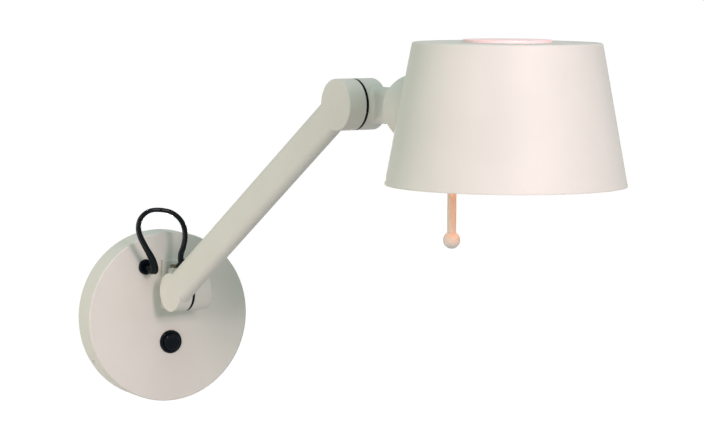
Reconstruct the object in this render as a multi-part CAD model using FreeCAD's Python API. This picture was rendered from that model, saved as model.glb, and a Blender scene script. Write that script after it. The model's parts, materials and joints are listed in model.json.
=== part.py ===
import FreeCAD, Part
import math
import os

from FreeCAD import Placement, Rotation, Vector

# Articulating wall lamp, in millimetres.
# The wall is the plane y = 0, the room lies towards -Y, +Z is up, and the origin is the
# centre of the round wall cover's back.
#
# Three working frames carry the moving parts at rest:
#   swivel frame: origin on the upright pivot, -Y outwards along the turned arm
#   arm frame:    origin on the lower barrel's axis, -Y along the raised arm
#   head frame:   origin on the elbow barrel's axis, -Y outwards, level

os.makedirs("parts", exist_ok=True)

# ---------------------------------------------------------------- driving dimensions

# running and seating clearances
running_gap = 0.05
seat_gap = 0.03

# how far a cut runs past a face, and how near two places count as the same
overrun = 1.0
near = 1e-4

# pose at rest
rest_turn = 7.0
arm_rise = 34.3

# round wall cover: a pressed cup, open to the wall
cover_radius = 75.8
cover_depth = 26.5
cover_wall = 1.6
cover_edge_radius = 1.2

# mounting plate on the wall, inside the cover
plate_edge_gap = 2.0
plate_thickness = 2.0
tab_width = 12.0
tab_thickness = 3.0
tab_rise = 14.0
supply_hole_radius = 10.0
wall_slot_spacing = 80.0
wall_slot_length = 12.0
wall_slot_width = 5.0

# three set screws through the cover's rim into the plate's tabs
set_screw_radius = 2.0
set_screw_length = 6.5
set_screw_sink = 0.4
set_screw_height = 9.75
set_screw_count = 3
first_set_screw_angle = 211.0
hex_socket_share = 1.1

# terminal block
terminal_length = 30.0
terminal_width = 18.0
terminal_height = 14.0
terminal_x = -38.0
terminal_z = 27.0
terminal_pitch = 9.0
terminal_count = 3
terminal_screw_radius = 2.0
terminal_bore_radius = 1.8
terminal_screw_sink = 1.0
terminal_slot_width = 0.8

# push switch in the cover's face
button_x = 1.3
button_z = -22.6
bezel_radius = 10.4
bezel_proud = 2.0
bezel_edge_radius = 1.1
bezel_neck_radius = 9.2
bezel_bore_radius = 7.9
bezel_neck_depth = 11.0
button_radius = 7.7
button_proud = 4.2
button_edge_radius = 1.4
button_dish_depth = 0.6
button_travel = 2.0
button_stem_radius = 3.0
button_skirt = 3.0
switch_nut_radius = 12.5
switch_nut_thickness = 3.0
switch_body_radius = 10.0
switch_body_depth = 9.0
spring_wire = 0.6
spring_radius = 5.0
spring_turns = 4

# flexible lead and its bushings
flex_radius = 2.5
gland_x = -22.5
gland_z = 45.5
gland_radius = 6.9
gland_proud = 2.5
gland_edge_radius = 1.2
gland_neck_radius = 5.4
gland_lip_radius = 6.2
gland_lip_thickness = 1.2
flex_bore_gap = 0.1
corner_share = 0.45

# bracket on the cover's face, with a tongue under the pivot
bracket_width = 16.0
bracket_bottom = 8.0
bracket_top = 51.0
bracket_thickness = 5.0
bracket_edge_radius = 0.8
tongue_radius = 7.5
tongue_thickness = 6.0
backing_width = 28.0
backing_thickness = 2.0
backing_margin = 2.0
bracket_screw_radius = 2.0
bracket_screw_head_radius = 3.6
bracket_screw_head = 2.6
bracket_screw_socket = 1.3
bracket_screw_grip = 3.8
bracket_screw_inset = 8.5

# upright pivot
pivot_gap = 0.5
pivot_screw_radius = 2.5
pivot_thread_depth = 5.0
pivot_head_radius = 3.3
pivot_head_height = 2.6
pivot_head_round = 1.8
pivot_socket_across = 3.0
pivot_socket_depth = 1.5
pivot_washer_radius = 4.4
pivot_washer_thickness = 0.6
slip_washer_margin = 0.3
slip_washer_thickness = 0.7
eye_radius = 5.0
eye_top = 44.3

# lower barrel: arm side, black ring, swivel side
barrel_out = 22.3
barrel_height = 26.0
lower_radius = 17.0
arm_face = -17.7
lower_arm_side = 13.8
lower_swivel_side = 17.8
web_width = 7.0
web_bottom = 16.0
web_top = 42.0

# elbow barrel: arm side, black ring, head side
elbow_radius = 20.6
elbow_arm_side = 16.0
elbow_head_side = 18.0

# what the two barrels share
ring_thickness = 2.4
ring_inset = 0.15
ring_width = 4.0
shell_wall = 3.5
cap_wall = 3.0
cap_edge_radius = 0.9
end_edge_radius = 1.4
boss_radius = 6.5
bolt_radius = 4.0
bolt_head_radius = 7.0
bolt_head_height = 2.2
bolt_socket_across = 5.0
bolt_socket_depth = 1.4
floor_thickness = 2.0
disc_spring_count = 2
disc_spring_radius = 8.0
disc_spring_thickness = 0.9
plug_radius = 9.5
plug_thickness = 1.0
plug_sink = 0.2

# flat-oval arm tube
arm_length = 312.5
tube_thickness = 13.5
tube_height = 29.2
tube_wall = 1.5
bore_margin = 2.5

# flat-oval grommet where the flex enters the arm
grommet_along = 23.0
grommet_length = 14.0
grommet_width = 8.0
grommet_proud = 2.0
grommet_skirt = 2.0
grommet_slot_length = 12.0
grommet_slot_width = 6.0
grommet_inside = 1.5

# how the lead and the flex run at the arm's two ends
flex_rise = 6.0
arm_lead_drop = 1.0
arm_lead_bend = 12.0

# neck and ball
neck_inset = 0.6
neck_root_radius = 3.6
neck_root_margin = 0.1
neck_slot_width = 6.9
neck_slot_height = 18.0
neck_slot_wall = 1.0
neck_slot_start = 10.5
lead_gap = 0.3
lead_entry_shift = 0.25
lead_entry_side = 9.0
lead_entry_back = 7.0
neck_lead_bend = 4.0
neck_lead_drop = 2.0
neck_lead_in_ball = 2.0
neck_lead_at_nipple = 3.0
ball_radius = 26.6
ball_out = 70.4
ball_flat_out = 92.0
ball_socket_depth = 8.0
ball_hollow_radius = 22.5
ball_back_wall = 6.0
ball_lid_radius = 11.0
ball_lid_thickness = 7.0
ball_lead_hole_radius = 3.2

# hollow nipple, washer and nuts on the head's turning axis
nipple_radius = 5.0
nipple_bore_radius = 3.4
nipple_inside = 6.0
nipple_outside = 9.5
nipple_nut_across = 14.0
nipple_nut_thickness = 3.5
head_washer_radius = 14.5
head_washer_thickness = 1.5
head_spring_radius = 9.0
head_spring_thickness = 1.0
head_spring_count = 2
head_nut_thickness = 5.0

# shade
shade_out = 183.45
shade_top = 53.8
shade_height = 105.6
shade_top_radius = 70.3
shade_bottom_radius = 90.0
shade_wall = 1.0
shade_top_corner = 2.0
shade_rim_radius = 1.0
shade_seat_radius = 13.5

# opal diffuser snapped into the shade's top
diffuser_radius = 33.0
diffuser_proud = 2.1
diffuser_edge_radius = 0.6
diffuser_opening_radius = 30.0
diffuser_bead = 0.5
diffuser_bead_depth = 1.0
diffuser_wall = 1.6

# block inside the shade, on the same axis
carrier_width = 30.0
carrier_height = 28.0
carrier_inner_radius = 60.0

# strap and lampholder
strap_thickness = 2.0
strap_width = 16.0
strap_reach = 16.0
strap_grip = 11.0
strap_screw_radius = 1.5
strap_screw_head_radius = 2.8
strap_screw_head = 1.8
strap_screw_socket = 0.9
strap_screw_grip = 6.0
holder_radius = 14.0
holder_length = 36.0
holder_back = 9.0
holder_wall = 3.5
holder_mouth_radius = 1.0
contact_length = 18.0
contact_wall = 0.6
contact_foot = 2.0
contact_foot_bore = 5.5

# lamp bulb, golf-ball size
bulb_cap_radius = 7.0
bulb_cap_length = 20.0
bulb_cap_wall = 0.5
bulb_radius = 22.5
bulb_centre = 30.0
bulb_wall = 0.8
bulb_neck_radius = 6.2
bulb_flare_share = 0.75
bulb_tip_length = 3.0
bulb_tip_radius = 3.0

# handle under the shade
handle_inset = 66.8
rod_radius = 3.5
rod_grip = 7.5
handle_ball_radius = 6.6
handle_drop = 46.8
rod_screw_radius = 1.5

# ---------------------------------------------------------------- worked-out places

face_y = -cover_depth
inner_face_y = face_y + cover_wall
cover_inner_radius = cover_radius - cover_wall
plate_radius = cover_inner_radius - plate_edge_gap

gland_front_y = face_y - gland_proud
bracket_front_y = face_y - bracket_thickness
pivot_out = cover_depth + bracket_thickness + pivot_gap + eye_radius
tongue_top = bracket_bottom + tongue_thickness
eye_bottom = tongue_top + slip_washer_thickness + seat_gap

tube_mid = arm_face + tube_thickness / 2
lower_ring = arm_face + lower_arm_side
lower_swivel_face = lower_ring + ring_thickness
lower_end = lower_swivel_face + lower_swivel_side
elbow_ring = arm_face + elbow_arm_side
elbow_head_face = elbow_ring + ring_thickness
elbow_end = elbow_head_face + elbow_head_side

head_mid = elbow_end - neck_inset - tube_thickness / 2
neck_near_side = head_mid - tube_thickness / 2
neck_slot_mid = neck_near_side + neck_slot_wall + neck_slot_width / 2
neck_lead_side = neck_near_side + neck_slot_wall + flex_radius + lead_gap
ball_back_out = ball_out - math.sqrt(ball_radius**2 - (tube_height / 2) ** 2)
neck_end_out = ball_back_out + ball_socket_depth
ball_hollow_out = neck_end_out + ball_back_wall
ball_lid_out = ball_flat_out - ball_lid_thickness

washer_front = ball_flat_out + head_washer_thickness
carrier_out = shade_out - carrier_inner_radius
head_spring_end = carrier_out + head_spring_count * head_spring_thickness
head_nut_end = head_spring_end + head_nut_thickness
nipple_end = carrier_out + nipple_outside
holder_out = carrier_out + strap_reach
bulb_base = holder_out + holder_back + seat_gap + bulb_tip_length
bulb_cap_end = bulb_base + bulb_cap_length
bulb_middle = bulb_cap_end + bulb_centre

shade_bottom = shade_top - shade_height
shade_slope = (shade_bottom_radius - shade_top_radius) / shade_height
handle_out = shade_out - handle_inset
handle_ball_z = shade_bottom - handle_drop

origin_frame = Placement()
swivel_frame = Placement(Vector(0, -pivot_out, 0), Rotation(Vector(0, 0, 1), rest_turn))
lower_axis = Placement(Vector(0, -barrel_out, barrel_height), Rotation(Vector(1, 0, 0), -arm_rise))
arm_frame = swivel_frame * lower_axis
elbow_in_arm = Placement(Vector(0, -arm_length, 0), Rotation(Vector(1, 0, 0), arm_rise))
head_frame = arm_frame * elbow_in_arm

# ---------------------------------------------------------------- shape helpers

RIGHT = Vector(1, 0, 0)
OUT = Vector(0, -1, 0)
UP = Vector(0, 0, 1)


def round_bar(radius, start, end):
    """A solid cylinder between two points."""
    return Part.makeCylinder(radius, (end - start).Length, start, end - start)


def sleeve(outer, inner, start, end):
    """A cylinder with a hole right through it."""
    return round_bar(outer, start, end).cut(round_bar(inner, start, end))


def block(low, high):
    """A box between two opposite corners."""
    size = high - low
    return Part.makeBox(size.x, size.y, size.z, low)


def prism(corners, sweep):
    """A straight-sided solid from its outline."""
    return Part.Face(Part.makePolygon(corners + corners[:1])).extrude(sweep)


def hexagon(across_flats, start, end):
    """A hexagonal bar between two points."""
    axis = end - start
    side = axis.cross(UP) if abs(axis.z) < axis.Length / 2 else axis.cross(RIGHT)
    side.normalize()
    other = axis.cross(side)
    other.normalize()
    reach = across_flats / math.sqrt(3)
    turns = [math.radians(60 * k) for k in range(6)]
    corners = [start + side * reach * math.cos(a) + other * reach * math.sin(a) for a in turns]
    return prism(corners, axis)


def stadium(centre, across, along, width, length, sweep):
    """A flat-oval bar: two straight sides and two half-round ones, swept along a vector."""
    side = across * (width / 2)
    half = along * ((length - width) / 2)
    tip = along * (length / 2)
    outline = [
        Part.LineSegment(centre - side - half, centre - side + half).toShape(),
        Part.Arc(centre - side + half, centre + tip, centre + side + half).toShape(),
        Part.LineSegment(centre + side + half, centre + side - half).toShape(),
        Part.Arc(centre + side - half, centre - tip, centre - side - half).toShape(),
    ]
    return Part.Face(Part.Wire(outline)).extrude(sweep)


def join(*shapes):
    """One clean solid from pieces that touch or overlap."""
    whole = shapes[0]
    for shape in shapes[1:]:
        whole = whole.fuse(shape)
    return whole.removeSplitter()


def round_circles(shape, radius, centre):
    """Round the circular edges that are centred on a point."""
    chosen = [
        edge
        for edge in shape.Edges
        if isinstance(edge.Curve, Part.Circle) and (edge.Curve.Center - centre).Length < near
    ]
    return shape.makeFillet(radius, chosen)


def in_frame(shape, frame):
    """A copy of a shape, moved from its working frame to the lamp's frame."""
    moved = shape.copy()
    moved.Placement = frame * moved.Placement
    return moved


def export(name, shape, frame=origin_frame):
    """Write one node, after a check that it is whole."""
    placed = in_frame(shape, frame)
    solids = placed.Solids
    if not placed.isValid() or not solids:
        print("BAD SHAPE", name, placed.isValid(), len(solids))
    body = solids[0] if len(solids) == 1 else Part.makeCompound(solids)
    body.exportStep("parts/" + name + ".step")


def tangent_arc(start, corner, end):
    """The arc from start to end that touches both equal legs of a corner."""
    back = start - corner
    ahead = end - corner
    turn = math.pi - back.getAngle(ahead)
    radius = back.Length / math.tan(turn / 2)
    sagitta = radius / math.cos(turn / 2) - radius
    bisector = back + ahead
    bisector.normalize()
    return Part.Arc(start, corner + bisector * sagitta, end).toShape(), radius


def rounded_path(points, name):
    """A cord's centreline: straight runs joined by tangent arcs, as large as the runs allow."""
    edges = []
    radii = []
    here = points[0]
    for before, corner, after in zip(points, points[1:], points[2:]):
        back = before - corner
        ahead = after - corner
        leg = corner_share * min(back.Length, ahead.Length)
        back.normalize()
        ahead.normalize()
        arc_start = corner + back * leg
        arc_end = corner + ahead * leg
        arc, radius = tangent_arc(arc_start, corner, arc_end)
        radii.append(round(radius, 1))
        edges.append(Part.LineSegment(here, arc_start).toShape())
        edges.append(arc)
        here = arc_end
    edges.append(Part.LineSegment(here, points[-1]).toShape())
    print(name, "bend radii", radii)
    return Part.Wire(edges)


def cord_tube(points, radius, name):
    """A round cord along its rounded path."""
    path = rounded_path(points, name)
    along = points[1] - points[0]
    ring = Part.Wire(Part.Circle(points[0], along, radius).toShape())
    tube = path.makePipeShell([ring], True, False)
    expected = math.pi * radius**2 * path.Length
    print(name, "length", round(path.Length, 1), "volume", round(tube.Volume / expected, 4), "of expected")
    return tube


# ---------------------------------------------------------------- wall cover and plate


def rim_point(angle, radius):
    """A point at a set screw's height, at an angle round the cover."""
    turn = math.radians(angle)
    return Vector(radius * math.cos(turn), -set_screw_height, radius * math.sin(turn))


def on_button_axis(depth):
    """A point on the push switch's axis, at a place along Y."""
    return Vector(button_x, depth, button_z)


set_screw_angles = [first_set_screw_angle + 360 / set_screw_count * k for k in range(set_screw_count)]
bracket_screw_heights = [bracket_bottom + bracket_screw_inset, bracket_top - bracket_screw_inset]


def wall_cover():
    outside = round_bar(cover_radius, Vector(0, 0, 0), Vector(0, face_y, 0))
    outside = round_circles(outside, cover_edge_radius, Vector(0, face_y, 0))
    cup = outside.cut(round_bar(cover_inner_radius, Vector(0, 0, 0), Vector(0, inner_face_y, 0)))
    gland_back = Vector(gland_x, 0, gland_z)
    gland_face = Vector(gland_x, face_y, gland_z)
    holes = [
        round_bar(gland_neck_radius + running_gap, gland_back, gland_face),
        round_bar(bezel_neck_radius + running_gap, on_button_axis(0), on_button_axis(face_y)),
    ]
    for height in bracket_screw_heights:
        hole_radius = bracket_screw_radius + running_gap
        holes.append(round_bar(hole_radius, Vector(0, 0, height), Vector(0, face_y, height)))
    for angle in set_screw_angles:
        inner = rim_point(angle, cover_inner_radius - overrun)
        outer = rim_point(angle, cover_radius + overrun)
        holes.append(round_bar(set_screw_radius + running_gap, inner, outer))
    for hole in holes:
        cup = cup.cut(hole)
    return cup


def mounting_plate():
    """Round plate on the wall, with a supply hole and two level slots for wall screws."""
    plate = round_bar(plate_radius, Vector(0, 0, 0), Vector(0, -plate_thickness, 0))
    plate = plate.cut(round_bar(supply_hole_radius, Vector(0, 0, 0), Vector(0, -plate_thickness, 0)))
    for side in (-1, 1):
        centre = Vector(side * wall_slot_spacing / 2, 0, 0)
        sweep = OUT * plate_thickness
        plate = plate.cut(stadium(centre, UP, RIGHT, wall_slot_width, wall_slot_length, sweep))
    return plate


def plate_tabs():
    """Three curved tabs welded to the plate's edge, each with a set screw's hole."""
    foot = Vector(0, -plate_thickness, 0)
    tip = foot + OUT * tab_rise
    tabs = []
    for angle in set_screw_angles:
        sector = block(
            Vector(plate_radius / 2, tip.y, -tab_width / 2),
            Vector(plate_radius + overrun, foot.y, tab_width / 2),
        )
        sector.rotate(Vector(0, 0, 0), Vector(0, 1, 0), -angle)
        tab = sleeve(plate_radius, plate_radius - tab_thickness, foot, tip).common(sector)
        inner = rim_point(angle, plate_radius - tab_thickness - overrun)
        outer = rim_point(angle, plate_radius + overrun)
        tabs.append(tab.cut(round_bar(set_screw_radius + running_gap, inner, outer)))
    return Part.makeCompound(tabs)


def set_screws():
    screws = []
    across = set_screw_radius * hex_socket_share
    end_radius = cover_radius - set_screw_sink
    for angle in set_screw_angles:
        outer = rim_point(angle, end_radius)
        inner = rim_point(angle, end_radius - set_screw_length)
        socket_floor = rim_point(angle, end_radius - set_screw_length / 3)
        screws.append(round_bar(set_screw_radius, inner, outer).cut(hexagon(across, socket_floor, outer)))
    return Part.makeCompound(screws)


def terminal_places():
    """The height along Z of each pole of the terminal block."""
    middle = (terminal_count - 1) / 2
    return [terminal_z + (k - middle) * terminal_pitch for k in range(terminal_count)]


def terminal_block():
    front = -plate_thickness - terminal_height
    half = Vector(terminal_width / 2, 0, terminal_length / 2)
    centre = Vector(terminal_x, 0, terminal_z)
    body = block(
        centre - half + Vector(0, front, 0),
        centre + half + Vector(0, -plate_thickness, 0),
    )
    wire_y = -plate_thickness - terminal_height / 2
    for height in terminal_places():
        left = Vector(terminal_x - terminal_width / 2, wire_y, height)
        right = Vector(terminal_x + terminal_width / 2, wire_y, height)
        body = body.cut(round_bar(terminal_bore_radius, left, right))
        mouth = Vector(terminal_x, front, height)
        throat = Vector(terminal_x, wire_y, height)
        body = body.cut(round_bar(terminal_screw_radius + running_gap, mouth, throat))
    return body


def terminal_screws():
    front = -plate_thickness - terminal_height + terminal_screw_sink
    seat = -plate_thickness - terminal_height / 2 - terminal_bore_radius
    screws = []
    for height in terminal_places():
        mouth = Vector(terminal_x, front, height)
        screw = round_bar(terminal_screw_radius, mouth, Vector(terminal_x, seat, height))
        half_slot = terminal_slot_width / 2
        slot = block(
            Vector(terminal_x - terminal_screw_radius, front, height - half_slot),
            Vector(terminal_x + terminal_screw_radius, front + terminal_screw_sink, height + half_slot),
        )
        screws.append(screw.cut(slot))
    return Part.makeCompound(screws)


# ---------------------------------------------------------------- push switch

bezel_front_y = face_y - bezel_proud
bezel_back_y = inner_face_y + bezel_neck_depth
button_front_y = face_y - button_proud
button_back_y = bezel_front_y + button_skirt + button_travel


def switch_bezel():
    flange = round_bar(bezel_radius, on_button_axis(face_y), on_button_axis(bezel_front_y))
    flange = round_circles(flange, bezel_edge_radius, on_button_axis(bezel_front_y))
    neck = round_bar(bezel_neck_radius, on_button_axis(face_y), on_button_axis(bezel_back_y))
    bore = round_bar(bezel_bore_radius, on_button_axis(bezel_front_y), on_button_axis(bezel_back_y))
    return join(flange, neck).cut(bore)


def push_button():
    """A shallow cap with a stem, domed at its rim and dished in the middle."""
    cap = round_bar(button_radius, on_button_axis(button_back_y), on_button_axis(button_front_y))
    cap = round_circles(cap, button_edge_radius, on_button_axis(button_front_y))
    dish_reach = button_radius - button_edge_radius
    dish_radius = (dish_reach**2 + button_dish_depth**2) / (2 * button_dish_depth)
    dish_centre = on_button_axis(button_front_y - dish_radius + button_dish_depth)
    stem_end = on_button_axis(bezel_back_y - button_travel - running_gap)
    stem = round_bar(button_stem_radius, on_button_axis(button_back_y), stem_end)
    return join(cap.cut(Part.makeSphere(dish_radius, dish_centre)), stem)


def button_spring():
    """A coil round the stem, between the cap and the switch body, as pairs of tangent arcs."""
    first_y = button_back_y + spring_wire / 2
    length = bezel_back_y - button_back_y - spring_wire
    pitch = length / spring_turns

    def place(angle):
        middle = on_button_axis(first_y + pitch * angle / math.tau)
        return middle + Vector(math.cos(angle), 0, math.sin(angle)) * spring_radius

    def heading(angle):
        ahead = Vector(-spring_radius * math.sin(angle), pitch / math.tau, spring_radius * math.cos(angle))
        ahead.normalize()
        return ahead

    edges = []
    for quarter in range(4 * spring_turns):
        angle = quarter * math.tau / 4
        start, end = place(angle), place(angle + math.tau / 4)
        leave, arrive = heading(angle), heading(angle + math.tau / 4)
        chord = end - start
        both = leave + arrive
        slack = 4 - both.dot(both)
        lean = chord.dot(both)
        leg = (math.sqrt(lean**2 + slack * chord.dot(chord)) - lean) / slack
        first_corner = start + leave * leg
        second_corner = end - arrive * leg
        middle = (first_corner + second_corner) * 0.5
        edges.append(tangent_arc(start, first_corner, middle)[0])
        edges.append(tangent_arc(middle, second_corner, end)[0])
    wire_ring = Part.Wire(Part.Circle(place(0), heading(0), spring_wire / 2 - seat_gap).toShape())
    print("button_spring least gap", round(pitch - spring_wire, 2))
    return Part.Wire(edges).makePipeShell([wire_ring], True, False)


def switch_nut():
    start = on_button_axis(inner_face_y)
    end = on_button_axis(inner_face_y + switch_nut_thickness)
    nut = hexagon(switch_nut_radius * math.sqrt(3), start, end)
    nut = nut.common(round_bar(switch_nut_radius, start, end))
    return nut.cut(round_bar(bezel_neck_radius + seat_gap, start, end))


def switch_body():
    front = on_button_axis(bezel_back_y)
    back = on_button_axis(bezel_back_y + switch_body_depth)
    return round_bar(switch_body_radius, front, back)


# ---------------------------------------------------------------- gland and inside lead


def cable_gland():
    centre = Vector(gland_x, face_y, gland_z)
    front = Vector(gland_x, gland_front_y, gland_z)
    lip_start = Vector(gland_x, inner_face_y, gland_z)
    lip_end = lip_start - OUT * gland_lip_thickness
    flange = round_circles(round_bar(gland_radius, centre, front), gland_edge_radius, front)
    neck = round_bar(gland_neck_radius, centre, lip_end)
    lip = round_bar(gland_lip_radius, lip_start, lip_end)
    return join(flange, neck, lip).cut(round_bar(flex_radius + flex_bore_gap, front, lip_end))


def base_lead():
    """The lead from the gland to the terminal block, inside the cover."""
    wire_y = -plate_thickness - terminal_height / 2
    terminal_edge = terminal_x + terminal_width / 2
    points = [
        Vector(gland_x, gland_front_y, gland_z),
        Vector(gland_x, wire_y, gland_z),
        Vector(gland_x, wire_y, terminal_z),
        Vector(terminal_edge, wire_y, terminal_z),
    ]
    return cord_tube(points, flex_radius, "base_lead")


# ---------------------------------------------------------------- bracket and upright pivot


def wall_bracket():
    plate = block(
        Vector(-bracket_width / 2, bracket_front_y, bracket_bottom),
        Vector(bracket_width / 2, face_y, bracket_top),
    )
    corners = [edge for edge in plate.Edges if edge.BoundBox.YMax < bracket_front_y + near]
    plate = plate.makeFillet(bracket_edge_radius, corners)
    tongue = block(
        Vector(-tongue_radius, -pivot_out, bracket_bottom),
        Vector(tongue_radius, face_y, tongue_top),
    )
    nose = round_bar(tongue_radius, Vector(0, -pivot_out, bracket_bottom), Vector(0, -pivot_out, tongue_top))
    bracket = join(plate, tongue, nose)
    thread_floor = tongue_top - pivot_thread_depth
    thread = round_bar(
        pivot_screw_radius + running_gap,
        Vector(0, -pivot_out, thread_floor),
        Vector(0, -pivot_out, tongue_top),
    )
    bracket = bracket.cut(thread)
    hole_depth = OUT * (bracket_screw_grip + seat_gap)
    for height in bracket_screw_heights:
        mouth = Vector(0, face_y, height)
        bracket = bracket.cut(round_bar(bracket_screw_radius + running_gap, mouth, mouth + hole_depth))
    return bracket


def backing_plate():
    low = bracket_screw_heights[0] - bracket_screw_head_radius - backing_margin
    high = bracket_screw_heights[1] + bracket_screw_head_radius + backing_margin
    plate = block(
        Vector(-backing_width / 2, inner_face_y, low),
        Vector(backing_width / 2, inner_face_y + backing_thickness, high),
    )
    for height in bracket_screw_heights:
        start = Vector(0, inner_face_y, height)
        end = Vector(0, inner_face_y + backing_thickness, height)
        plate = plate.cut(round_bar(bracket_screw_radius + running_gap, start, end))
    return plate


def bracket_screws():
    screws = []
    seat_y = inner_face_y + backing_thickness
    for height in bracket_screw_heights:
        seat = Vector(0, seat_y, height)
        head_end = Vector(0, seat_y + bracket_screw_head, height)
        tip = Vector(0, face_y - bracket_screw_grip, height)
        head = round_bar(bracket_screw_head_radius, seat, head_end)
        socket_floor = Vector(0, seat_y + bracket_screw_head - bracket_screw_socket, height)
        head = head.cut(hexagon(bracket_screw_radius * hex_socket_share, socket_floor, head_end))
        screws.append(join(head, round_bar(bracket_screw_radius, tip, seat)))
    return Part.makeCompound(screws)


def slip_washer():
    start = Vector(0, 0, tongue_top)
    outer = eye_radius + slip_washer_margin
    return sleeve(outer, pivot_screw_radius + running_gap, start, start + UP * slip_washer_thickness)


def pivot_washer():
    start = Vector(0, 0, eye_top + seat_gap)
    end = start + UP * pivot_washer_thickness
    return sleeve(pivot_washer_radius, pivot_screw_radius + running_gap, start, end)


def pivot_screw():
    head_seat = Vector(0, 0, eye_top + seat_gap + pivot_washer_thickness)
    head_top = head_seat + UP * pivot_head_height
    tip = Vector(0, 0, tongue_top - pivot_thread_depth + seat_gap)
    head = round_circles(round_bar(pivot_head_radius, head_seat, head_top), pivot_head_round, head_top)
    socket_floor = head_top - UP * pivot_socket_depth
    head = head.cut(hexagon(pivot_socket_across, socket_floor, head_top))
    return join(head, round_bar(pivot_screw_radius, tip, head_seat))


# ---------------------------------------------------------------- barrels of the two joints


def drum(radius, start_x, end_x, start_round, end_round):
    """A barrel half along X, with its two circular edges rounded."""
    body = round_bar(radius, Vector(start_x, 0, 0), Vector(end_x, 0, 0))
    if start_round:
        body = round_circles(body, start_round, Vector(start_x, 0, 0))
    if end_round:
        body = round_circles(body, end_round, Vector(end_x, 0, 0))
    return body


def ring_hollow(radius, start_x, end_x):
    """The space round a barrel half's middle boss."""
    return sleeve(radius - shell_wall, boss_radius, Vector(start_x, 0, 0), Vector(end_x, 0, 0))


def bolt_seat(face_x, side_length):
    """Where the disc springs bear on the outer half's floor."""
    counterbore = disc_spring_count * disc_spring_thickness + bolt_head_height + plug_thickness
    return face_x + side_length - counterbore - plug_sink - seat_gap


def outer_half_cuts(radius, face_x, side_length):
    """Hollow, bolt hole and counterbore of the half that the bolt is put in from."""
    seat = bolt_seat(face_x, side_length)
    end = face_x + side_length
    return [
        ring_hollow(radius, face_x, seat - floor_thickness),
        round_bar(bolt_radius + running_gap, Vector(face_x, 0, 0), Vector(seat, 0, 0)),
        round_bar(plug_radius + running_gap, Vector(seat, 0, 0), Vector(end, 0, 0)),
    ]


def friction_ring(radius, ring_x):
    start = Vector(ring_x + seat_gap, 0, 0)
    end = Vector(ring_x + ring_thickness - seat_gap, 0, 0)
    return sleeve(radius - ring_inset, radius - ring_width, start, end)


def joint_bolt(face_x, side_length):
    seat = bolt_seat(face_x, side_length) + disc_spring_count * disc_spring_thickness
    head_end = Vector(seat + bolt_head_height, 0, 0)
    shank = round_bar(bolt_radius, Vector(arm_face + cap_wall + seat_gap, 0, 0), Vector(seat, 0, 0))
    head = round_bar(bolt_head_radius, Vector(seat, 0, 0), head_end)
    socket_floor = head_end - RIGHT * bolt_socket_depth
    return join(shank, head).cut(hexagon(bolt_socket_across, socket_floor, head_end))


def disc_springs(face_x, side_length):
    """Flat stacked spring washers under the bolt's head."""
    seat = bolt_seat(face_x, side_length)
    washers = []
    for k in range(disc_spring_count):
        start = Vector(seat + k * disc_spring_thickness, 0, 0)
        end = start + RIGHT * (disc_spring_thickness - seat_gap)
        washers.append(sleeve(disc_spring_radius, bolt_radius + running_gap, start, end))
    return Part.makeCompound(washers)


def end_plug(face_x, side_length):
    outside = face_x + side_length - plug_sink
    return round_bar(plug_radius, Vector(outside - plug_thickness, 0, 0), Vector(outside, 0, 0))


# ---------------------------------------------------------------- swivel piece


def swivel_knuckle():
    """The eye on the upright pivot and the fixed half of the lower barrel, one casting."""
    eye = round_bar(eye_radius, Vector(0, 0, eye_bottom), Vector(0, 0, eye_top))
    barrel = drum(lower_radius, lower_swivel_face, lower_end, 0, end_edge_radius)
    barrel_axis = Vector(0, -barrel_out, barrel_height)
    barrel.translate(barrel_axis)
    web = block(
        Vector(lower_swivel_face, -barrel_out, web_bottom),
        Vector(lower_swivel_face + web_width, 0, web_top),
    )
    knuckle = join(eye, web, barrel)
    for hollow in outer_half_cuts(lower_radius, lower_swivel_face, lower_swivel_side):
        hollow.translate(barrel_axis)
        knuckle = knuckle.cut(hollow)
    screw_hole = round_bar(pivot_screw_radius + running_gap, Vector(0, 0, eye_bottom), Vector(0, 0, eye_top))
    return knuckle.cut(screw_hole)


# ---------------------------------------------------------------- arm

elbow_axis = Vector(0, -arm_length, 0)
grommet_top = tube_height / 2 + grommet_proud


def flat_tube(thickness, height, start_out, end_out):
    """A flat-oval bar along the arm, on the arm tube's middle line."""
    start = Vector(tube_mid, -start_out, 0)
    return stadium(start, RIGHT, UP, thickness, height, OUT * (end_out - start_out))


def grommet_bar(width, length, low, high):
    centre = Vector(tube_mid, -grommet_along, low)
    return stadium(centre, RIGHT, OUT, width, length, UP * (high - low))


def arm():
    """Flat-oval tube welded to a barrel half at each end, painted as one piece."""
    lower_drum = drum(lower_radius, arm_face, lower_ring, cap_edge_radius, 0)
    elbow_drum = drum(elbow_radius, arm_face, elbow_ring, cap_edge_radius, 0)
    elbow_drum.translate(elbow_axis)
    whole = join(flat_tube(tube_thickness, tube_height, 0, arm_length), lower_drum, elbow_drum)

    bore_thickness = tube_thickness - 2 * tube_wall
    bore_height = tube_height - 2 * tube_wall
    bore_start = boss_radius + bore_margin
    bore_end = arm_length - boss_radius - bore_margin
    hollow_start = arm_face + cap_wall
    cuts = [
        flat_tube(bore_thickness, bore_height, bore_start, bore_end),
        grommet_bar(grommet_slot_width, grommet_slot_length, 0, grommet_top),
        ring_hollow(lower_radius, hollow_start, lower_ring),
        round_bar(bolt_radius + running_gap, Vector(hollow_start, 0, 0), Vector(lower_ring, 0, 0)),
    ]
    elbow_cuts = [
        ring_hollow(elbow_radius, hollow_start, elbow_ring),
        round_bar(bolt_radius + running_gap, Vector(hollow_start, 0, 0), Vector(elbow_ring, 0, 0)),
    ]
    for hollow in elbow_cuts:
        hollow.translate(elbow_axis)
    for hollow in cuts + elbow_cuts:
        whole = whole.cut(hollow)
    return whole


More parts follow.
